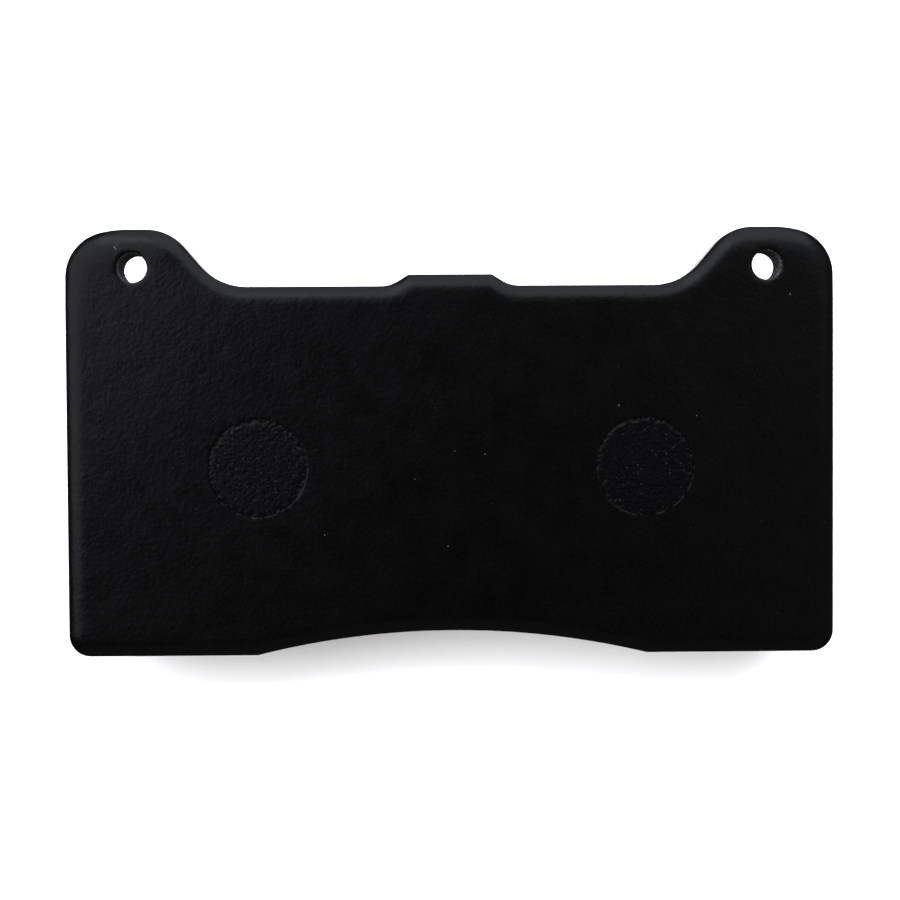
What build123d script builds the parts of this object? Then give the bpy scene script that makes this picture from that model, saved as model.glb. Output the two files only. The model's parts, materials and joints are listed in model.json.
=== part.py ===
from build123d import *
from math import asin, degrees, radians, sqrt, tan
import os

os.makedirs("parts", exist_ok=True)

# A disc brake pad for a fixed caliper, in millimetres, lying on its friction face. +X runs along the
# pad, +Y points away from the disc's axis, and +Z points from the disc to the pistons. The origin is
# under the middle of the pad. Outlines are drawn from the pad's lower edge, on the plane PAD.

# Backing plate: punched steel, rolled over at the edges of its back face
PLATE_LENGTH = 107.0
PLATE_HEIGHT = 59.5
PLATE_THICKNESS = 6.0
EDGE_ROLL_WIDTH = 2.4
EDGE_ROLL_DEPTH = 0.6
EDGE_ROLL_RADIUS = 0.8
FRONT_EDGE_BREAK = 0.2
LOWER_CORNER_RADIUS = 3.0
LOWER_ARC_RADIUS = 114.0
LOWER_ARC_RISE = 3.3

# Outer edge of the plate: a flat, a low bump in the middle, and an ear at each end
OUTER_EDGE = 51.45
BUMP_RISE = 1.6
BUMP_HALF_TOP = 5.8
BUMP_SLOPE = 31.5
BUMP_FOOT_RADIUS = 4.5
EAR_FOOT = 32.2
EAR_SLOPE = 49.5
EAR_FOOT_RADIUS = 8.5
EAR_SHOULDER_RADIUS = 6.8
EAR_CROWN_START = 45.0
EAR_CROWN_RADIUS = 15.5
EAR_CORNER_RADIUS = 6.3

# Holes in the plate: one pin hole in each ear, and one hole behind the middle of each half
PIN_HOLE_DIAMETER = 4.4
PIN_HOLE_X = 44.1
PIN_HOLE_Y = 54.1
PIN_ROLL_WIDTH = 0.4
PIN_ROLL_DEPTH = 0.3
KEY_HOLE_DIAMETER = 13.7
KEY_HOLE_X = 27.0
KEY_HOLE_Y = 26.2
KEY_RECESS = 0.1

# Compound: the wearing block, the layer under it, and the adhesive film that holds both to the plate
BLOCK_THICKNESS = 9.8
UNDERLAYER_THICKNESS = 1.5
FILM_THICKNESS = 0.2
FILM_MARGIN = 0.5
BLOCK_SIDE_MARGIN = 2.5
BLOCK_LOWER_MARGIN = 1.8
BLOCK_OUTER_MARGIN = 1.8
BLOCK_CORNER_RADIUS = 2.5
END_CHAMFER_LENGTH = 4.0
END_CHAMFER_DEPTH = 2.0
SLOT_WIDTH = 3.0
SLOT_DEPTH = 7.5

plate_end = PLATE_LENGTH / 2
bump_foot = BUMP_HALF_TOP + BUMP_RISE / tan(radians(BUMP_SLOPE))
ear_shoulder = EAR_FOOT + (PLATE_HEIGHT - OUTER_EDGE) / tan(radians(EAR_SLOPE))
corner_offset = plate_end - EAR_CORNER_RADIUS - EAR_CROWN_START
crown_turn = degrees(asin(corner_offset / (EAR_CROWN_RADIUS - EAR_CORNER_RADIUS)))
block_end = plate_end - BLOCK_SIDE_MARGIN
arc_half_width = sqrt(LOWER_ARC_RADIUS**2 - (LOWER_ARC_RADIUS - LOWER_ARC_RISE) ** 2)

underlayer_base = BLOCK_THICKNESS
film_base = underlayer_base + UNDERLAYER_THICKNESS
plate_base = film_base + FILM_THICKNESS
plate_back = plate_base + PLATE_THICKNESS

PAD = Plane((0, -PLATE_HEIGHT / 2, 0))
PIN_HOLES = [(-PIN_HOLE_X, PIN_HOLE_Y), (PIN_HOLE_X, PIN_HOLE_Y)]
KEY_HOLES = [(-KEY_HOLE_X, KEY_HOLE_Y), (KEY_HOLE_X, KEY_HOLE_Y)]

# Outline of the plate: half of it, from the bump's middle round the ear to the lower arc, mirrored
with BuildSketch() as plate_outline:
    with BuildLine():
        bump_top = Line((0, OUTER_EDGE + BUMP_RISE), (BUMP_HALF_TOP, OUTER_EDGE + BUMP_RISE))
        outer_edge = FilletPolyline(
            bump_top @ 1,
            (bump_foot, OUTER_EDGE),
            (EAR_FOOT, OUTER_EDGE),
            (ear_shoulder, PLATE_HEIGHT),
            (EAR_CROWN_START, PLATE_HEIGHT),
            radius=[BUMP_FOOT_RADIUS, EAR_FOOT_RADIUS, EAR_SHOULDER_RADIUS],
        )
        crown = JernArc(outer_edge @ 1, (1, 0), EAR_CROWN_RADIUS, -crown_turn)
        corner = JernArc(crown @ 1, crown % 1, EAR_CORNER_RADIUS, crown_turn - 90)
        lower_corner = FilletPolyline(
            corner @ 1, (plate_end, 0), (arc_half_width, 0), radius=LOWER_CORNER_RADIUS
        )
        RadiusArc(lower_corner @ 1, (0, LOWER_ARC_RISE), -LOWER_ARC_RADIUS)
        mirror(about=Plane.YZ)
    make_face()

# Outline of the compound: inside the plate's edges, and clear of the ears
with BuildSketch() as compound_outline:
    with BuildLine():
        sides = FilletPolyline(
            (0, OUTER_EDGE - BLOCK_OUTER_MARGIN),
            (block_end, OUTER_EDGE - BLOCK_OUTER_MARGIN),
            (block_end, BLOCK_LOWER_MARGIN),
            (arc_half_width, BLOCK_LOWER_MARGIN),
            radius=BLOCK_CORNER_RADIUS,
        )
        RadiusArc(sides @ 1, (0, LOWER_ARC_RISE + BLOCK_LOWER_MARGIN), -LOWER_ARC_RADIUS)
        mirror(about=Plane.YZ)
    make_face()

with BuildPart() as backing_plate:
    with BuildSketch(PAD.offset(plate_base)):
        add(plate_outline.sketch)
        with Locations(KEY_HOLES):
            Circle(KEY_HOLE_DIAMETER / 2, mode=Mode.SUBTRACT)
        with Locations(PIN_HOLES):
            Circle(PIN_HOLE_DIAMETER / 2, mode=Mode.SUBTRACT)
    extrude(amount=PLATE_THICKNESS)
    back_face = backing_plate.faces().sort_by(Axis.Z)[-1]
    chamfer(back_face.outer_wire().edges(), EDGE_ROLL_DEPTH, EDGE_ROLL_WIDTH)
    roll_foot = backing_plate.edges().filter_by_position(
        Axis.Z, plate_back - EDGE_ROLL_DEPTH, plate_back - EDGE_ROLL_DEPTH
    )
    fillet(roll_foot, EDGE_ROLL_RADIUS)
    front_face = backing_plate.faces().sort_by(Axis.Z)[0]
    chamfer(front_face.outer_wire().edges(), FRONT_EDGE_BREAK)
    back_rings = backing_plate.edges().group_by(Axis.Z)[-1].filter_by(GeomType.CIRCLE)
    pin_rims = back_rings.filter_by(lambda ring: abs(ring.radius - PIN_HOLE_DIAMETER / 2) < 0.01)
    chamfer(pin_rims, PIN_ROLL_DEPTH, PIN_ROLL_WIDTH)
backing_plate.part.label = "backing_plate"
export_step(backing_plate.part, "parts/backing_plate.step")

with BuildPart() as bond_film:
    with BuildSketch(PAD.offset(film_base)):
        add(compound_outline.sketch)
        offset(amount=FILM_MARGIN)
        with Locations(KEY_HOLES):
            Circle(KEY_HOLE_DIAMETER / 2, mode=Mode.SUBTRACT)
    extrude(amount=FILM_THICKNESS)
bond_film.part.label = "bond_film"
export_step(bond_film.part, "parts/bond_film.step")

# The underlayer is moulded into the plate's holes, just short of its back face
with BuildPart() as underlayer:
    with BuildSketch(PAD.offset(underlayer_base)):
        add(compound_outline.sketch)
    extrude(amount=UNDERLAYER_THICKNESS)
    with BuildSketch(PAD.offset(film_base)):
        with Locations(KEY_HOLES):
            Circle(KEY_HOLE_DIAMETER / 2)
    extrude(amount=FILM_THICKNESS + PLATE_THICKNESS - KEY_RECESS)
underlayer.part.label = "underlayer"
export_step(underlayer.part, "parts/underlayer.step")

with BuildPart() as friction_block:
    with BuildSketch(PAD):
        add(compound_outline.sketch)
    extrude(amount=BLOCK_THICKNESS)
    with BuildSketch(Plane.XZ):
        Rectangle(SLOT_WIDTH, 2 * SLOT_DEPTH)
        with BuildLine():
            Polyline(
                (block_end, 0),
                (block_end, END_CHAMFER_DEPTH),
                (block_end - END_CHAMFER_LENGTH, 0),
                close=True,
            )
        make_face()
        mirror(about=Plane.YZ)
    extrude(amount=PLATE_HEIGHT, both=True, mode=Mode.SUBTRACT)
friction_block.part.label = "friction_block"
export_step(friction_block.part, "parts/friction_block.step")
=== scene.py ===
import bmesh
import bpy
import json
from math import asin, ceil, copysign, cos, pi, radians, sin, sqrt, tan
from mathutils import Matrix, Vector, noise
from mathutils.bvhtree import BVHTree
from mathutils.kdtree import KDTree


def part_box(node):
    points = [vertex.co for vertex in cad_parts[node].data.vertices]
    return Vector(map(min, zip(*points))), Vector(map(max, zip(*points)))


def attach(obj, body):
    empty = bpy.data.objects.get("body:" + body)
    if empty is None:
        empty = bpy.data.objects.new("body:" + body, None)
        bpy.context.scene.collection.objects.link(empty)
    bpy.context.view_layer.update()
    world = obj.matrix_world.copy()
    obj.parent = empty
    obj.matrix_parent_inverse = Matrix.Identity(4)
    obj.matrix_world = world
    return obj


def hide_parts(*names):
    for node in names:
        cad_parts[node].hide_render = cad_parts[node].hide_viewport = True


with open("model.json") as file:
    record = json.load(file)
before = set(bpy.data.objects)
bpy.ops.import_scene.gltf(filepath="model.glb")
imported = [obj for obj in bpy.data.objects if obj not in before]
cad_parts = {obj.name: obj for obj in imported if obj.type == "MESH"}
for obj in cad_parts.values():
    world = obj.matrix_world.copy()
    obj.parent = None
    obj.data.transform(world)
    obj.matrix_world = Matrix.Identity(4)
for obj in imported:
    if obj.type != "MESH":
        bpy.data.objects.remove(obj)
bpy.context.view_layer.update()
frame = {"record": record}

# A disc brake pad on its friction face. Meshes are drawn in millimetres and scaled to metres when
# they are finished. Heights, ends and pin holes come from the frame; the rest are the pad's own
# dimensions.
MM = 0.001


def box_mm(node):
    """The lowest and highest corner of a CAD node, in millimetres."""
    low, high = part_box(node)
    return low / MM, high / MM


def mount(name):
    """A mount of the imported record."""
    return next(each for each in frame["record"]["mounts"] if each["name"] == name)


plate_low, plate_high = box_mm("backing_plate")
block_low, block_high = box_mm("friction_block")
film_low, film_high = box_mm("bond_film")
underlayer_high = box_mm("underlayer")[1]

# Outline of the plate
LOWER_ARC_RADIUS = 114.0
LOWER_ARC_RISE = 3.3
LOWER_CORNER_RADIUS = 3.0
OUTER_EDGE = plate_low.y + 51.45
BUMP_RISE = 1.6
BUMP_HALF_TOP = 5.8
BUMP_SLOPE = radians(31.5)
BUMP_CREST_RADIUS = 0.6
BUMP_FOOT_RADIUS = 4.5
EAR_FOOT = 32.2
EAR_SLOPE = radians(49.5)
EAR_FOOT_RADIUS = 8.5
EAR_SHOULDER_RADIUS = 6.8
EAR_CROWN_START = 45.0
EAR_CROWN_RADIUS = 15.5
EAR_CORNER_RADIUS = 6.3

# Punched edges and walls
EDGE_ROLL_WIDTH = 2.8
EDGE_ROLL_DEPTH = 0.62
EDGE_ROLL_STEPS = 10
EDGE_BREAK = 0.2
EAR_SAG_WIDTH = 4.6
EAR_SAG_DEPTH = 0.4
EAR_SAG_AT_FOOT = 0.3
COAT_UNEVENNESS = 0.02
WALL_STEP = 0.4
SHEAR_DEPTH = 2.0
SHEAR_WANDER = 0.5
BREAK_BAND = 0.5
BREAK_SET_BACK = 0.06
BREAK_STREAKS = 0.05
BREAK_GRAIN = 0.03

# Pin holes, and the key holes that the plugs fill
COAT_BUILD_UP = 0.17
PIN_RADIUS = mount("pin_hole_left")["dims"]["r_mm"] - COAT_BUILD_UP
PIN_HOLES = [Vector(mount(f"pin_hole_{side}")["pos_m"]).xy / MM for side in ("left", "right")]
PIN_ROLL_WIDTH = 0.5
PIN_ROLL_DEPTH = 0.2
PIN_RIM_WIDTH = 0.25
PIN_GRAIN = 0.025
PIN_BELL = 0.05
KEY_RADIUS = 6.85
KEY_HOLES = [Vector((side * 27.0, plate_low.y + 26.2)) for side in (-1, 1)]
KEY_ROLL_WIDTH = 0.35
KEY_ROLL_DEPTH = 0.08
KEY_RAGGEDNESS = 0.14

# Compound
PLUG_CLEARANCE = 0.03
PLUG_RIM_WIDTH = 0.9
PLUG_RIM_DEPTH = 0.17
PLUG_ROUGHNESS = 0.05
PLUG_SQUARE = 0.19
COMPOUND_CORNER_RADIUS = 2.5
FILM_MARGIN = 0.5
UNDERLAYER_STEPS = 4
CHAMFER_LENGTH = 4.0
CHAMFER_DEPTH = 2.0
SLOT_HALF_WIDTH = 1.5
SLOT_DEPTH = 7.5
SOLE_EDGE_WIDTH = 0.35
SOLE_EDGE_DEPTH = 0.25
SOLE_SQUARE = 0.7
BLOCK_STEP = 0.5
BLOCK_GRAIN = 0.05
PIT_DEPTH = 0.5
PIT_THRESHOLD = 0.42

# Section of the adhesive bead, in shares of the film's thickness and of its margin
BEAD_SHOULDER = 0.55
BEAD_FOOT = 0.2
BEAD_ROLL_WIDTH = 0.6
BEAD_SET_BACK = 0.42
BEAD_WANDER = 0.4

# Spacing of points along an outline and of the squares on a flat face
STEP = 0.4
CROWDED = 0.15
SQUARE = 0.36
# Points on a round opening, and the gap to the squares around it, in shares of those spacings
RING_SHARE = 0.6
GAP_SHARE = 0.6
# Where the rings lie between a hole's opening on the back and its wall, as shares of that way
RIM_SHARES = (0.55, 0.25, 0.08, 0.0)
# How near two heights are taken for one, and how far off a hole's wall a point still belongs to it
SAME_LEVEL = 0.01
WALL_REACH = 0.1
PIN_WALL_REACH = 0.12
SHARP_ANGLE = radians(40)
SECOND_MATERIAL = 1

# Camera, in millimetres and radians
CAMERA_LENS = 66.2
CAMERA_PLACE = Vector((-3.06, 5.5, 247.9))
CAMERA_TARGET = Vector((-0.16, -1.19, 16.9))
CAMERA_ROLL = 0.00662

rolled_height = plate_high.z - EDGE_ROLL_DEPTH
slot_roof = block_low.z + SLOT_DEPTH
crown_offset = plate_high.x - EAR_CORNER_RADIUS - EAR_CROWN_START
crown_turn = asin(crown_offset / (EAR_CROWN_RADIUS - EAR_CORNER_RADIUS))
crown_corner = EAR_CROWN_START + EAR_CROWN_RADIUS * tan(crown_turn / 2)
ear_side = plate_high.y - (plate_high.x - crown_corner) * tan(crown_turn)
bump_foot = BUMP_HALF_TOP + BUMP_RISE / tan(BUMP_SLOPE)
ear_shoulder = EAR_FOOT + (plate_high.y - OUTER_EDGE) / tan(EAR_SLOPE)
arc_half_width = sqrt(LOWER_ARC_RADIUS**2 - (LOWER_ARC_RADIUS - LOWER_ARC_RISE) ** 2)

PLATE_CORNERS = [
    (0, OUTER_EDGE + BUMP_RISE, 0),
    (BUMP_HALF_TOP, OUTER_EDGE + BUMP_RISE, BUMP_CREST_RADIUS),
    (bump_foot, OUTER_EDGE, BUMP_FOOT_RADIUS),
    (EAR_FOOT, OUTER_EDGE, EAR_FOOT_RADIUS),
    (ear_shoulder, plate_high.y, EAR_SHOULDER_RADIUS),
    (crown_corner, plate_high.y, EAR_CROWN_RADIUS),
    (plate_high.x, ear_side, EAR_CORNER_RADIUS),
    (plate_high.x, plate_low.y, LOWER_CORNER_RADIUS),
    (arc_half_width, plate_low.y, 0),
]


def compound_corners(margin):
    """Outline of the block and the layers over it, grown by a margin."""
    end = block_high.x + margin
    return [
        (0, block_high.y + margin, 0),
        (end, block_high.y + margin, COMPOUND_CORNER_RADIUS + margin),
        (end, block_low.y - margin, COMPOUND_CORNER_RADIUS + margin),
        (arc_half_width, block_low.y - margin, 0),
    ]


# ---- mesh work ----


def line_to(bm, start, x, y):
    """Draws a straight line from the point start, in steps, and returns its far end."""
    way = Vector((x, y, start.co.z)) - start.co
    if way.length < STEP / 100:
        return start
    steps = ceil(way.length / STEP)
    drawn = bmesh.ops.spin(bm, geom=[start], axis=(0, 0, 1), dvec=way / steps, steps=steps)
    return drawn["geom_last"][0]


def arc_about(bm, start, centre, turn):
    """Spins the point start about centre, and returns the far end of the arc."""
    radius = (start.co.xy - centre).length
    steps = max(2, ceil(abs(turn) * radius / STEP))
    middle = (centre.x, centre.y, start.co.z)
    drawn = bmesh.ops.spin(bm, geom=[start], cent=middle, axis=(0, 0, 1), angle=turn, steps=steps)
    return drawn["geom_last"][0]


def turn_corner(bm, start, corner, following):
    """Draws from start to a corner (x, y, radius), and rounds it towards the following one."""
    here = Vector(corner[:2])
    radius = corner[2]
    back = (start.co.xy - here).normalized()
    on = (Vector(following[:2]) - here).normalized()
    half = back.angle(on) / 2
    start = line_to(bm, start, *(here + back * radius / tan(half)))
    if not radius:
        return start
    centre = here + (back + on).normalized() * radius / sin(half)
    turn = copysign(pi - 2 * half, on.cross(back))
    return arc_about(bm, start, centre, turn)


def outlined_face(bm, corners, height):
    """A flat face at a height. Its right half runs through the corners to the lower arc, and its
    left half is the mirror image."""
    point = bm.verts.new((corners[0][0], corners[0][1], height))
    for corner, following in zip(corners[1:-1], corners[2:]):
        point = turn_corner(bm, point, corner, following)
    point = line_to(bm, point, *corners[-1][:2])
    centre = Vector((0, corners[-1][1] + LOWER_ARC_RISE - LOWER_ARC_RADIUS))
    arc_about(bm, point, centre, asin(corners[-1][0] / LOWER_ARC_RADIUS))
    bmesh.ops.mirror(bm, geom=bm.verts[:] + bm.edges[:], axis="X", merge_dist=STEP / 100)
    face = bmesh.ops.contextual_create(bm, geom=bm.edges[:])["faces"][0]
    face.normal_update()
    if face.normal.z < 0:
        face.normal_flip()
    return face


def boundary(bm):
    """The edges round an open sheet."""
    return [edge for edge in bm.edges if edge.is_boundary]


def roll_edge(bm, face, width, depth, steps):
    """Insets a face in even steps, so that it rises by depth from its rim along a curve that
    flattens inwards. Points that crowd together at a corner are merged. Returns the face inside."""
    for step in range(steps):
        outer, inner = 1 - step / steps, 1 - (step + 1) / steps
        bmesh.ops.inset_region(
            bm,
            faces=[face],
            use_even_offset=True,
            use_boundary=True,
            thickness=width / steps,
            depth=depth * (outer**3 - inner**3),
        )
        bmesh.ops.remove_doubles(bm, verts=face.verts[:], dist=CROWDED)
        face = max(bm.faces, key=lambda each: len(each.verts))
    return face


def draw_circles(bm, circles, height):
    """Draws a ring of edges for each (centre, radius), and returns the rings."""
    rings = []
    for centre, radius in circles:
        drawn = bmesh.ops.create_circle(
            bm,
            segments=ceil(2 * pi * radius / (RING_SHARE * STEP)),
            radius=radius,
            matrix=Matrix.Translation((centre.x, centre.y, height)),
        )
        rings.append(list(dict.fromkeys(edge for vert in drawn["verts"] for edge in vert.link_edges)))
    return rings


def cut_circles(bm, face, circles):
    """Cuts round openings in a flat face, and returns the edges of each."""
    rim = list(face.edges)
    rings = draw_circles(bm, circles, face.verts[0].co.z)
    bmesh.ops.delete(bm, geom=[face], context="FACES_ONLY")
    fill_between(bm, rim, *rings)
    return rings


def fill_between(bm, *loops):
    """Fills the flat area between a rim and the loops inside it."""
    edges = [edge for loop in loops for edge in loop]
    bmesh.ops.triangle_fill(bm, use_beauty=True, edges=edges, normal=(0, 0, 1))


def pave(bm, face, circles, spacing):
    """Fills a flat face with squares, stitched to its rim and to round openings by triangles.
    circles are (centre, radius). Returns the edges of each opening."""
    height = face.verts[0].co.z
    rim = list(face.edges)
    xs = [vert.co.x for vert in face.verts]
    ys = [vert.co.y for vert in face.verts]
    cover = BVHTree.FromPolygons([vert.co.copy() for vert in face.verts], [range(len(xs))])
    rim_points = KDTree(len(xs))
    for index, vert in enumerate(face.verts):
        rim_points.insert(vert.co, index)
    rim_points.balance()
    bmesh.ops.delete(bm, geom=[face], context="FACES_ONLY")
    rings = draw_circles(bm, circles, height)
    gap = GAP_SHARE * spacing

    def is_clear(point):
        if rim_points.find(point)[2] < gap:
            return False
        if cover.ray_cast(point + Vector((0, 0, 1)), Vector((0, 0, -1)))[0] is None:
            return False
        return all((point.xy - centre).length > radius + gap for centre, radius in circles)

    wide, tall = (max(xs) - min(xs)) / 2, (max(ys) - min(ys)) / 2
    middle = ((max(xs) + min(xs)) / 2, (max(ys) + min(ys)) / 2, height)
    grid = bmesh.ops.create_grid(
        bm,
        x_segments=round(2 * wide / spacing),
        y_segments=round(2 * tall / spacing),
        size=1,
        matrix=Matrix.Translation(middle) @ Matrix.Diagonal((wide, tall, 1, 1)),
    )
    squares = grid["verts"]
    unwanted = [vert for vert in squares if not is_clear(vert.co)]
    while unwanted:
        bmesh.ops.delete(bm, geom=unwanted, context="VERTS")
        squares = [vert for vert in squares if vert.is_valid]
        unwanted = [vert for vert in squares if not vert.link_faces or is_pinched(vert)]
    around = [edge for vert in squares for edge in vert.link_edges if edge.is_boundary]
    fill_between(bm, rim, *rings, list(dict.fromkeys(around)))
    return rings


def is_pinched(vert):
    """True where squares meet only at this point."""
    return sum(edge.is_boundary for edge in vert.link_edges) > 2


def extend(bm, loop, place):
    """Extrudes a loop of edges, puts its new points where place says, and returns the new loop."""
    drawn = bmesh.ops.extrude_edge_only(bm, edges=loop)["geom"]
    for vert in drawn:
        if isinstance(vert, bmesh.types.BMVert):
            vert.co = place(vert.co)
    return [edge for edge in drawn if isinstance(edge, bmesh.types.BMEdge)]


def lowered(height):
    """For extend: straight down or up to a height."""
    return lambda co: Vector((co.x, co.y, height))


def stepped(height, left):
    """For extend: one of the equal steps that are left on the way to a height."""
    return lambda co: Vector((co.x, co.y, co.z + (height - co.z) / left))


def ringed(centre, radius):
    """For extend: onto a circle about centre, at the same height."""

    def place(co):
        out = (co.xy - centre).normalized() * radius
        return Vector((centre.x + out.x, centre.y + out.y, co.z))

    return place


def clamp(value):
    """Keeps a value between 0 and 1."""
    return min(max(value, 0.0), 1.0)


def quarter_ellipse(share, depth):
    """The drop of a rolled edge at a share of the way, from 0 at the wall to 1 at the flat."""
    gone = clamp(1 - share)
    return depth * (1 - sqrt(1 - gone**2))


def wander(place, waves):
    """Smooth unevenness from about -1 to 1, with so many waves per millimetre."""
    return noise.noise(place * waves)


def on_plan(vert):
    """Where a point lies seen from above."""
    return Vector((vert.co.x, vert.co.y, 0))


def points_of(edges):
    """The points of some edges, each once."""
    return list(dict.fromkeys(vert for edge in edges for vert in edge.verts))


def near(vert, centres, radius):
    """The distance to the nearest centre, or None beyond the radius."""
    distance = min((vert.co.xy - centre).length for centre in centres)
    return distance if distance < radius else None


def push_in(vert, amount):
    """Moves a point on an upright wall into the material, level with itself."""
    inward = -vert.normal.xy.normalized() * amount
    vert.co.x += inward.x
    vert.co.y += inward.y


def is_level(edge):
    """True for an edge whose ends are at one height."""
    return abs(edge.verts[0].co.z - edge.verts[1].co.z) < SAME_LEVEL


def face_out(bm):
    """Turns every face outwards and works out the normals of the points again."""
    bmesh.ops.recalc_face_normals(bm, faces=bm.faces[:])
    bm.normal_update()


def cut_across(bm, x):
    """Cuts every face that crosses a plane across the pad."""
    everything = bm.verts[:] + bm.edges[:] + bm.faces[:]
    bmesh.ops.bisect_plane(bm, geom=everything, plane_co=(x, 0, 0), plane_no=(1, 0, 0))


def pull_down(bm, faces, height):
    """Extrudes flat faces down to a height, with walls around them."""
    drawn = bmesh.ops.extrude_face_region(bm, geom=faces)["geom"]
    for each in drawn:
        if isinstance(each, bmesh.types.BMVert):
            each.co.z = height
    bm.normal_update()
    bmesh.ops.recalc_face_normals(bm, faces=bm.faces[:])


def finish_mesh(bm, name, materials, replaces):
    """Scales the mesh to metres, and makes it a piece in place of a CAD node."""
    bmesh.ops.recalc_face_normals(bm, faces=bm.faces[:])
    bmesh.ops.scale(bm, vec=(MM, MM, MM), verts=bm.verts[:])
    for face in bm.faces:
        face.smooth = True
    mesh = bpy.data.meshes.new(name)
    bm.to_mesh(mesh)
    bm.free()
    mesh.set_sharp_from_angle(angle=SHARP_ANGLE)
    for material in materials:
        mesh.materials.append(material)
    piece = bpy.data.objects.new(name, mesh)
    bpy.context.collection.objects.link(piece)
    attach(piece, "root")
    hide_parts(replaces)


# ---- materials ----

# Sockets of a Mix node that mixes colours
MIX_SHARE = 0
MIX_COLOURS = (6, 7)
MIX_RESULT = 2

# Grains of the friction compound: cells per millimetre, share of the cells, size in cells, colour
COMPOUND_FLECKS = [
    (1.6, 0.10, 0.28, (0.11, 0.07, 0.03)),
    (1.9, 0.12, 0.30, (0.10, 0.10, 0.10)),
    (1.1, 0.08, 0.25, (0.003, 0.003, 0.003)),
]
# Pale chips in the coat of the back: x, y and radius
CHIPS = [
    (-46.05, 27.72, 0.05),
    (-46.25, 27.5, 0.06),
    (-46.5, 27.24, 0.12),
    (-46.36, 27.08, 0.07),
    (-46.24, 26.96, 0.09),
    (47.33, 20.25, 0.12),
    (23.4, 4.9, 0.12),
    (34.25, 3.4, 0.08),
    (-17.7, -12.9, 0.09),
    (-0.5, -14.6, 0.1),
    (-5.1, -5.2, 0.07),
    (0.5, -1.3, 0.08),
    (4.7, -1.8, 0.09),
]


def feed(tree, socket, value):
    """Gives a socket its value, or links it to the socket that feeds it."""
    if isinstance(value, bpy.types.NodeSocket):
        tree.links.new(value, socket)
    else:
        socket.default_value = value


def node(tree, kind, inputs=None, **settings):
    """Adds a shader node. Each input is a value or the socket that feeds it."""
    made = tree.nodes.new(kind)
    for name, value in settings.items():
        setattr(made, name, value)
    for name, value in (inputs or {}).items():
        feed(tree, made.inputs[name], value)
    return made


def new_material(name):
    """An empty material with its tree, its shader and Object coordinates in millimetres."""
    material = bpy.data.materials.new(name)
    material.use_nodes = True
    tree = material.node_tree
    shader = tree.nodes["Principled BSDF"]
    place = node(tree, "ShaderNodeTexCoord").outputs["Object"]
    scaled = node(tree, "ShaderNodeMapping", {"Vector": place, "Scale": (1 / MM, 1 / MM, 1 / MM)})
    return material, tree, shader, scaled.outputs["Vector"]


def noise_of(tree, place, scale, detail=2.0, low=0.0, high=1.0):
    """Fractal noise with so many waves per millimetre, stretched so that low..high becomes 0..1."""
    waves = node(tree, "ShaderNodeTexNoise", {"Vector": place, "Scale": scale, "Detail": detail})
    spread = {"Value": waves.outputs["Fac"], "From Min": low, "From Max": high}
    return node(tree, "ShaderNodeMapRange", spread).outputs["Result"]


def flecks_of(tree, place, scale, share, size):
    """Small grains: 1 inside a grain. share of the cells hold one, size is in cells."""
    cells = node(tree, "ShaderNodeTexVoronoi", {"Vector": place, "Scale": scale})
    draw = node(tree, "ShaderNodeSeparateColor", {"Color": cells.outputs["Color"]})
    chosen = calculate(tree, "LESS_THAN", draw.outputs["Red"], share)
    near_middle = calculate(tree, "LESS_THAN", cells.outputs["Distance"], size)
    return calculate(tree, "MULTIPLY", chosen, near_middle)


def sprinkle(tree, place, colour, flecks):
    """Lays grains over a colour. Each kind is (cells per millimetre, share, size, colour)."""
    for scale, share, size, fleck in flecks:
        colour = blend(tree, flecks_of(tree, place, scale, share, size), colour, fleck)
    return colour


def calculate(tree, operation, first, second=0.0, third=0.0):
    """One step of shader arithmetic."""
    step = node(tree, "ShaderNodeMath", {0: first, 1: second, 2: third}, operation=operation)
    return step.outputs["Value"]


def blend(tree, share, first, second):
    """Mixes two colours. Each is (red, green, blue) or a socket."""
    mix = node(tree, "ShaderNodeMix", data_type="RGBA")
    feed(tree, mix.inputs[MIX_SHARE], share)
    for index, colour in zip(MIX_COLOURS, (first, second)):
        feed(tree, mix.inputs[index], (*colour, 1) if isinstance(colour, tuple) else colour)
    return mix.outputs[MIX_RESULT]


def finish_surface(tree, shader, colour, height, depth, roughness, gloss):
    """Feeds a shader with its colour, its relief in millimetres and its gloss."""
    relief = {"Height": height, "Strength": 1.0, "Distance": depth * MM}
    bump = node(tree, "ShaderNodeBump", relief)
    feed(tree, shader.inputs["Normal"], bump.outputs["Normal"])
    feed(tree, shader.inputs["Base Color"], colour)
    feed(tree, shader.inputs["Roughness"], roughness)
    feed(tree, shader.inputs["Specular IOR Level"], gloss)


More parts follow.
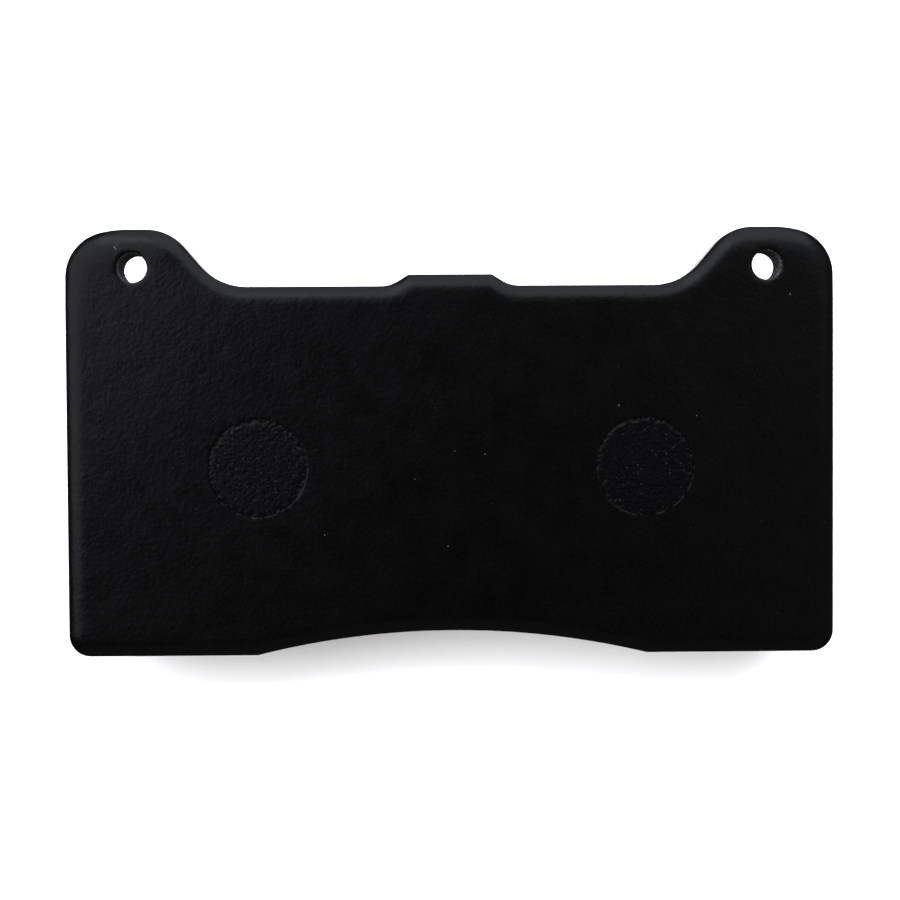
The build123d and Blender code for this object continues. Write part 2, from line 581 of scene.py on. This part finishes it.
def powder_coat():
    """Satin black coat with a leathery orange-peel skin, fine grit and a few pale chips."""
    material, tree, shader, place = new_material("powder_coat")
    bend = noise_of(tree, place, 1.2, 1.0)
    warped = node(tree, "ShaderNodeVectorMath", {0: place, 1: bend}, operation="ADD")
    blisters = node(
        tree,
        "ShaderNodeTexVoronoi",
        {"Vector": warped.outputs["Vector"], "Scale": 1.5, "Smoothness": 0.4},
        feature="SMOOTH_F1",
    )
    swell = noise_of(tree, place, 1.7, 1.0)
    peel = calculate(tree, "MULTIPLY_ADD", blisters.outputs["Distance"], -0.5, swell)
    skin = calculate(tree, "MULTIPLY_ADD", noise_of(tree, place, 5.0, 3.0), 0.2, peel)
    grit = noise_of(tree, place, 4.5, 2.0, 0.42, 0.72)
    colour = blend(tree, grit, (0.0003, 0.0003, 0.0003), (0.001, 0.00095, 0.00095))
    dust = flecks_of(tree, place, 0.9, 0.05, 0.07)
    colour = blend(tree, dust, colour, (0.01, 0.009, 0.008))
    chipped = 0.0
    flat = node(tree, "ShaderNodeVectorMath", {0: place, 1: (1, 1, 0)}, operation="MULTIPLY")
    for x, y, radius in CHIPS:
        ends = {0: flat.outputs["Vector"], 1: (x, y, 0)}
        away = node(tree, "ShaderNodeVectorMath", ends, operation="DISTANCE")
        chip = calculate(tree, "LESS_THAN", away.outputs["Value"], radius)
        chipped = calculate(tree, "MAXIMUM", chipped, chip)
    colour = blend(tree, chipped, colour, (0.038, 0.036, 0.032))
    patchy = noise_of(tree, place, 0.25, 3.0, 0.3, 0.7)
    roughness = calculate(tree, "MULTIPLY_ADD", patchy, 0.06, 0.22)
    finish_surface(tree, shader, colour, skin, depth=0.019, roughness=roughness, gloss=0.046)
    return material


def scuffed_wall_with_painted_glints():
    """Wall of a pin hole: thin coat over torn steel. Its grey is partly the steel showing through and
    partly painted sheen, and its pale flecks are painted glints.
    """
    material, tree, shader, place = new_material("pin_hole_wall")
    grain = noise_of(tree, place, 3.0, 4.0, 0.35, 0.7)
    # grey tone: partly torn steel showing through the coat, partly painted sheen, lighter on the high
    # points of the relief
    colour = blend(tree, grain, (0.012, 0.012, 0.012), (0.07, 0.069, 0.067))
    # pale flecks: painted glints on the torn steel
    colour = blend(tree, flecks_of(tree, place, 3.0, 0.25, 0.35), colour, (0.19, 0.185, 0.18))
    finish_surface(tree, shader, colour, grain, depth=0.1, roughness=0.7, gloss=0.0)
    return material


def moulded(name, dark, light, flecks, overspray, roughness=0.75):
    """A pressed compound: mottled, with grains of metal and fibre, and pits darkened with painted
    shade.
    Black overspray fades down from the plate over a height of so many millimetres."""
    material, tree, shader, place = new_material(name)
    mottle = noise_of(tree, place, 0.7, 4.0, 0.3, 0.7)
    pores_and_shade = noise_of(tree, place, 2.2, 4.0, 0.3, 0.6)
    colour = blend(tree, mottle, dark, light)
    # darkest at the low points of the pores: painted shade in the pits
    colour = blend(tree, pores_and_shade, tuple(0.3 * part for part in dark), colour)
    colour = sprinkle(tree, place, colour, flecks)
    if overspray:
        height = node(tree, "ShaderNodeSeparateXYZ", {"Vector": place}).outputs["Z"]
        above = calculate(tree, "SUBTRACT", height, film_low.z - overspray)
        wavy = calculate(tree, "MULTIPLY_ADD", mottle, overspray, above)
        cover = calculate(tree, "DIVIDE", wavy, 1.6 * overspray)
        cover = node(tree, "ShaderNodeClamp", {"Value": cover}).outputs["Result"]
        colour = blend(tree, cover, colour, (0.0015, 0.0015, 0.0015))
    finish_surface(tree, shader, colour, pores_and_shade, depth=0.12, roughness=roughness, gloss=0.1)
    return material


def ground_sole():
    """The sole: the same compound ground flat, with marks from the wheel."""
    material, tree, shader, place = new_material("friction_sole")
    drawn_out = node(tree, "ShaderNodeMapping", {"Vector": place, "Scale": (0.05, 1.0, 1.0)})
    marks = noise_of(tree, drawn_out.outputs["Vector"], 3.5, 3.0, 0.3, 0.7)
    mottle = noise_of(tree, place, 0.8, 4.0, 0.3, 0.7)
    colour = blend(tree, mottle, (0.010, 0.0095, 0.009), (0.035, 0.033, 0.031))
    colour = blend(tree, calculate(tree, "MULTIPLY", marks, 0.35), colour, (0.05, 0.048, 0.045))
    colour = sprinkle(tree, place, colour, COMPOUND_FLECKS)
    finish_surface(tree, shader, colour, marks, depth=0.05, roughness=0.6, gloss=0.15)
    return material


def plug_paint():
    """The coat over the crumbly end of a plug."""
    material, tree, shader, place = new_material("plug_coat")
    grain = noise_of(tree, place, 2.6, 3.0, 0.4, 0.7)
    colour = blend(tree, grain, (0.0003, 0.0003, 0.0003), (0.0011, 0.0011, 0.0012))
    colour = blend(tree, flecks_of(tree, place, 2.0, 0.12, 0.25), colour, (0.008, 0.008, 0.008))
    finish_surface(tree, shader, colour, grain, depth=0.02, roughness=0.27, gloss=0.035)
    return material


coat = powder_coat()
pin_hole_wall = scuffed_wall_with_painted_glints()
plug_coat = plug_paint()
underlayer_compound = moulded(
    "underlayer_compound",
    (0.008, 0.006, 0.005),
    (0.025, 0.02, 0.016),
    [(1.8, 0.12, 0.3, (0.06, 0.055, 0.05))],
    overspray=1.5,
)
adhesive = moulded(
    "adhesive",
    (0.012, 0.005, 0.002),
    (0.05, 0.02, 0.007),
    [],
    overspray=0,
    roughness=0.35,
)
friction_compound = moulded(
    "friction_compound",
    (0.014, 0.013, 0.012),
    (0.045, 0.042, 0.038),
    COMPOUND_FLECKS,
    overspray=4.0,
)
friction_sole = ground_sole()


# ---- pieces ----


def backing_plate():
    """Punched steel plate: rolled back edges, sheared walls, two pin holes and two key holes."""
    bm = bmesh.new()
    back = outlined_face(bm, PLATE_CORNERS, rolled_height)
    back = roll_edge(bm, back, EDGE_ROLL_WIDTH, EDGE_ROLL_DEPTH, EDGE_ROLL_STEPS)
    outline = boundary(bm)
    holes = pierce_back(bm, back)
    settle_back(bm, outline)
    walls, front = punch_walls(bm, [outline, *holes])
    tear_walls(walls)
    for vert in front:
        push_in(vert, EDGE_BREAK)
    for face in bm.faces:
        if all(near(vert, PIN_HOLES, PIN_RADIUS + PIN_WALL_REACH) for vert in face.verts):
            face.material_index = SECOND_MATERIAL
    finish_mesh(
        bm,
        "backing_plate_steel",
        [coat, pin_hole_wall],
        replaces="backing_plate",
    )


def pierce_back(bm, back):
    """Paves the plate's back round its four holes, and returns the upper edge of each."""
    circles = [(centre, PIN_RADIUS + PIN_RIM_WIDTH) for centre in PIN_HOLES]
    circles += [(centre, KEY_RADIUS + KEY_ROLL_WIDTH) for centre in KEY_HOLES]
    holes = []
    for (centre, radius), ring in zip(circles, pave(bm, back, circles, SQUARE)):
        wall = PIN_RADIUS if centre in PIN_HOLES else KEY_RADIUS
        for share in RIM_SHARES:
            ring = extend(bm, ring, ringed(centre, wall + (radius - wall) * share))
        if centre in KEY_HOLES:
            fray(ring, centre)
        holes.append(ring)
    return holes


def fray(ring, centre):
    """Widens the edge of a key hole here and there."""
    for vert in points_of(ring):
        ragged = 1 + KEY_RAGGEDNESS * max(0.0, wander(vert.co, 1.3)) / KEY_RADIUS
        vert.co.xy = centre + (vert.co.xy - centre) * ragged


def settle_back(bm, outline):
    """Lowers the plate's back at the rims of the ears and of the holes, and makes its coat uneven."""
    rim = KDTree(len(outline))
    for index, edge in enumerate(outline):
        rim.insert(edge.verts[0].co, index)
    rim.balance()
    for vert in bm.verts:
        up_the_ear = (vert.co.y - OUTER_EDGE) / (plate_high.y - OUTER_EDGE)
        level = Vector((vert.co.x, vert.co.y, rolled_height))
        inset = min(rim.find(level)[2] / EAR_SAG_WIDTH, 1.0)
        vert.co.z -= EAR_SAG_DEPTH * clamp(up_the_ear + EAR_SAG_AT_FOOT) * (1 - inset) ** 2
        distance = near(vert, PIN_HOLES, PIN_RADIUS + PIN_ROLL_WIDTH)
        if distance:
            vert.co.z -= quarter_ellipse((distance - PIN_RADIUS) / PIN_ROLL_WIDTH, PIN_ROLL_DEPTH)
        distance = near(vert, KEY_HOLES, KEY_RADIUS + 2 * KEY_ROLL_WIDTH)
        if distance:
            vert.co.z -= key_rim_drop(vert, distance - KEY_RADIUS)
        vert.co.z -= COAT_UNEVENNESS * (0.5 + 0.5 * wander(on_plan(vert), 0.55))


def key_rim_drop(vert, distance):
    """How far a key hole's rim is rolled down at a distance from its wall. It comes and goes."""
    crumble = wander(vert.co, 0.7) + 2.2 * wander(vert.co, 2.1)
    width = KEY_ROLL_WIDTH * max(0.03, 0.6 + crumble)
    return quarter_ellipse(distance / width, KEY_ROLL_DEPTH * clamp(0.4 + 1.5 * crumble))


def punch_walls(bm, loops):
    """Draws the plate's walls down from the loops on its back and closes its front. Returns the
    points on the walls and the points on the front's edges."""
    steps = ceil((rolled_height - plate_low.z) / WALL_STEP)
    walls = []
    front = []
    for loop in loops:
        for left in range(steps, 0, -1):
            loop = extend(bm, loop, stepped(plate_low.z + EDGE_BREAK, left))
            walls += points_of(loop)
        front += extend(bm, loop, lowered(plate_low.z))
    fill_between(bm, front)
    face_out(bm)
    return walls, points_of(front)


def tear_walls(walls):
    """Sets a punched wall back below the line where it was torn instead of sheared."""
    for vert in walls:
        if near(vert, KEY_HOLES, KEY_RADIUS + WALL_REACH):
            continue
        streaks = wander(Vector((vert.co.x * 1.3, vert.co.y * 1.3, vert.co.z * 0.35)), 1.0)
        grain = wander(vert.co, 2.3)
        break_line = SHEAR_DEPTH + SHEAR_WANDER * wander(on_plan(vert), 0.25)
        torn = clamp((plate_high.z - vert.co.z - break_line) / BREAK_BAND)
        push_in(vert, torn * (BREAK_SET_BACK + BREAK_STREAKS * streaks + BREAK_GRAIN * grain))
        if near(vert, PIN_HOLES, PIN_RADIUS + WALL_REACH):
            push_in(vert, PIN_GRAIN * grain - PIN_BELL * torn)


def underlayer():
    """Moulded layer on the plate's front, with the two plugs that key it into the plate."""
    bm = bmesh.new()
    top = outlined_face(bm, compound_corners(0), film_low.z)
    outline = list(top.edges)
    circles = [(centre, KEY_RADIUS - PLUG_CLEARANCE) for centre in KEY_HOLES]
    rings = cut_circles(bm, top, circles)
    for step in range(1, UNDERLAYER_STEPS + 1):
        height = film_low.z + (block_high.z - film_low.z) * step / UNDERLAYER_STEPS
        outline = extend(bm, outline, lowered(height))
    bmesh.ops.contextual_create(bm, geom=outline)
    for (centre, radius), ring in zip(circles, rings):
        ring = extend(bm, ring, lowered(underlayer_high.z - PLUG_RIM_DEPTH))
        plug = bmesh.ops.contextual_create(bm, geom=ring)["faces"][0]
        pave_plug(bm, plug, centre, radius)
    finish_mesh(
        bm,
        "underlayer_moulding",
        [underlayer_compound, plug_coat],
        replaces="underlayer",
    )


def pave_plug(bm, plug, centre, radius):
    """Covers the end of a plug with squares, then crumbles its rim and roughens its middle."""
    before = set(bm.verts) - set(plug.verts)
    pave(bm, plug, [], PLUG_SQUARE)
    for vert in bm.verts:
        if vert in before:
            continue
        share = (radius - (vert.co.xy - centre).length) / PLUG_RIM_WIDTH
        place = on_plan(vert)
        ragged = share + 0.5 * wander(place, 0.8) + 0.9 * wander(place, 2.4)
        crumbs = 0.65 + 0.7 * noise.noise(place * 1.9 + Vector((4, 9, 2)))
        rim = PLUG_RIM_DEPTH * clamp(crumbs) * (1 - clamp(ragged)) ** 2
        rough = clamp(0.5 + 0.5 * noise.fractal(place * 1.9, 1.0, 2.0, 3))
        vert.co.z = underlayer_high.z - rim - PLUG_ROUGHNESS * rough * clamp(share)
    for face in bm.faces:
        if all(vert not in before for vert in face.verts):
            face.material_index = SECOND_MATERIAL


def bond_film():
    """Adhesive between plate and underlayer, squeezed out in an uneven bead."""
    bm = bmesh.new()
    thickness = film_high.z - film_low.z
    top = outlined_face(bm, compound_corners(FILM_MARGIN), film_low.z + BEAD_SHOULDER * thickness)
    top = roll_edge(bm, top, BEAD_ROLL_WIDTH * thickness, (1 - BEAD_SHOULDER) * thickness, 2)
    outline = boundary(bm)
    rings = cut_circles(bm, top, [(centre, KEY_RADIUS) for centre in KEY_HOLES])
    outline = extend(bm, outline, lowered(film_low.z + BEAD_FOOT * thickness))
    bottoms = [extend(bm, loop, lowered(film_low.z)) for loop in [outline, *rings]]
    fill_between(bm, *bottoms)
    face_out(bm)
    for vert in bm.verts:
        if near(vert, KEY_HOLES, KEY_RADIUS + WALL_REACH) or not vert.normal.xy.length:
            continue
        push_in(vert, FILM_MARGIN * (BEAD_SET_BACK + BEAD_WANDER * wander(on_plan(vert), 0.35)))
    finish_mesh(bm, "bond_film_bead", [adhesive], replaces="bond_film")


def friction_block():
    """Wearing block: one slot across its sole, a chamfer at each end."""
    bm = bmesh.new()
    press_block(bm)
    divide_walls(bm)
    for side in (-1, 1):
        face_sole(bm, side)
    for face in bm.faces:
        if all(is_ground(vert) for vert in face.verts):
            face.material_index = SECOND_MATERIAL
    for side in (-1, 1):
        cut_across(bm, side * (block_high.x - CHAMFER_LENGTH))
    face_out(bm)
    roughen_and_chamfer(bm)
    finish_mesh(
        bm,
        "friction_block_moulding",
        [friction_compound, friction_sole],
        replaces="friction_block",
    )


def press_block(bm):
    """Draws the block down from its outline to the roof of the slot, and then each half down to
    its sole. The faces that a half starts from would be left inside the block, so they go."""
    outlined_face(bm, compound_corners(0), block_high.z)
    for side in (-1, 1):
        cut_across(bm, side * SLOT_HALF_WIDTH)
    pull_down(bm, bm.faces[:], slot_roof)
    for side in (-1, 1):
        half = faces_down(bm, side)
        pull_down(bm, half, block_low.z + SOLE_EDGE_DEPTH)
        bmesh.ops.delete(bm, geom=half, context="FACES_ONLY")
        bmesh.ops.recalc_face_normals(bm, faces=bm.faces[:])


def faces_down(bm, side):
    """The faces on one side of the slot that look towards the disc."""
    return [
        face
        for face in bm.faces
        if face.normal.z < -0.9 and face.calc_center_median().x * side > SLOT_HALF_WIDTH
    ]


def divide_walls(bm):
    """Divides the long edges beside the slot, and then every wall into level rows."""
    across = [edge for edge in bm.edges if edge.calc_length() > 5 and is_level(edge)]
    bmesh.ops.subdivide_edges(bm, edges=across, cuts=ceil((block_high.y - block_low.y) / STEP))
    for low, high in ((block_low.z, slot_roof), (slot_roof, block_high.z)):
        upright = [
            edge
            for edge in bm.edges
            if not is_level(edge) and low < (edge.verts[0].co.z + edge.verts[1].co.z) / 2 < high
        ]
        bmesh.ops.subdivide_edges(bm, edges=upright, cuts=ceil((high - low) / BLOCK_STEP) - 1)


def face_sole(bm, side):
    """Bevels the edge of the sole on one side of the slot, and paves it."""
    sole = max(faces_down(bm, side), key=lambda each: len(each.verts))
    bmesh.ops.inset_region(
        bm,
        faces=[sole],
        use_even_offset=True,
        use_boundary=True,
        thickness=SOLE_EDGE_WIDTH,
        depth=SOLE_EDGE_DEPTH,
    )
    pave(bm, sole, [], SOLE_SQUARE)


def is_ground(vert):
    """True for a point on the sole, before the ends are chamfered."""
    return vert.co.z < block_low.z + SAME_LEVEL


def roughen_and_chamfer(bm):
    """Gives the pressed sides their grain, pits them and the sole, and raises the sole's ends."""
    thickness = block_high.z - block_low.z
    for vert in bm.verts:
        if vert.co.z < block_high.z - SAME_LEVEL:
            pit = max(0.0, noise.noise(vert.co * 0.9 + Vector((7, 3, 1))) - PIT_THRESHOLD)
            grain = 0 if is_ground(vert) else BLOCK_GRAIN * (1 + wander(vert.co, 1.7))
            vert.co -= vert.normal * (grain + PIT_DEPTH * pit)
        chamfer = (abs(vert.co.x) - block_high.x + CHAMFER_LENGTH) / CHAMFER_LENGTH
        rise = CHAMFER_DEPTH * max(0.0, chamfer)
        vert.co.z = vert.co.z * (1 - rise / thickness) + rise


backing_plate()
underlayer()
bond_film()
friction_block()


# ---- studio ----


def studio_floor():
    """Pale floor under the pad."""
    bm = bmesh.new()
    bmesh.ops.create_circle(bm, cap_ends=True, segments=64, radius=3.0)
    mesh = bpy.data.meshes.new("floor")
    bm.to_mesh(mesh)
    bm.free()
    floor = bpy.data.objects.new("floor", mesh)
    bpy.context.collection.objects.link(floor)
    material = bpy.data.materials.new("floor_paint")
    material.use_nodes = True
    shader = material.node_tree.nodes["Principled BSDF"]
    shader.inputs["Base Color"].default_value = (0.92, 0.9, 0.86, 1)
    shader.inputs["Roughness"].default_value = 0.9
    shader.inputs["Specular IOR Level"].default_value = 0.0
    shader.inputs["Emission Color"].default_value = (1, 1, 1, 1)
    shader.inputs["Emission Strength"].default_value = 0.03
    mesh.materials.append(material)


def window_light(name, azimuth, zenith, spread, strength, colour):
    """A broad soft light from a direction, all in degrees; azimuth 0 is the right of the pad and
    90 its outer edge."""
    light = bpy.data.lights.new(name, "SUN")
    light.angle = radians(spread)
    light.energy = strength
    light.color = colour
    lamp = bpy.data.objects.new(name, light)
    lamp.rotation_euler = (0, radians(zenith), radians(azimuth))
    bpy.context.collection.objects.link(lamp)


def camera():
    """A long lens nearly straight above the pad, a little turned."""
    lens = bpy.data.cameras.new("camera")
    lens.lens = CAMERA_LENS
    lens.sensor_width = 36.0
    lens.clip_start = 0.01
    eye = bpy.data.objects.new("camera", lens)
    forward = (CAMERA_TARGET - CAMERA_PLACE).normalized()
    right = Vector((cos(CAMERA_ROLL), -sin(CAMERA_ROLL), 0))
    right = (right - forward * right.dot(forward)).normalized()
    turned = Matrix((right, right.cross(forward), -forward)).transposed()
    eye.matrix_world = Matrix.Translation(CAMERA_PLACE * MM) @ turned.to_4x4()
    bpy.context.collection.objects.link(eye)
    bpy.context.scene.camera = eye


def studio_air():
    """Dim air that lights the pad a little, and a white backdrop that only the camera sees."""
    world = bpy.data.worlds.new("studio_air")
    bpy.context.scene.world = world
    world.use_nodes = True
    tree = world.node_tree
    seen = node(tree, "ShaderNodeLightPath").outputs["Is Camera Ray"]
    air = node(tree, "ShaderNodeBackground", {"Color": (0.03, 0.03, 0.032, 1)})
    backdrop = node(tree, "ShaderNodeBackground", {"Color": (1, 1, 1, 1)})
    mixed = node(
        tree,
        "ShaderNodeMixShader",
        {0: seen, 1: air.outputs["Background"], 2: backdrop.outputs["Background"]},
    )
    feed(tree, tree.nodes["World Output"].inputs["Surface"], mixed.outputs["Shader"])


studio_floor()
window_light("left_window", 147, 41, 61, 5.8, (0.9, 0.93, 1.0))
window_light("top_window", 83, 52, 60, 6.3, (0.84, 0.88, 1.0))
window_light("corner_window", 50, 45, 60, 1.2, (0.92, 0.94, 1.0))
window_light("right_window", 8, 48, 80, 0.75, (1.0, 1.0, 1.0))
window_light("lower_window", 270, 55, 70, 0.7, (1.0, 1.0, 1.0))
camera()
studio_air()
bpy.context.scene.view_settings.view_transform = "Standard"
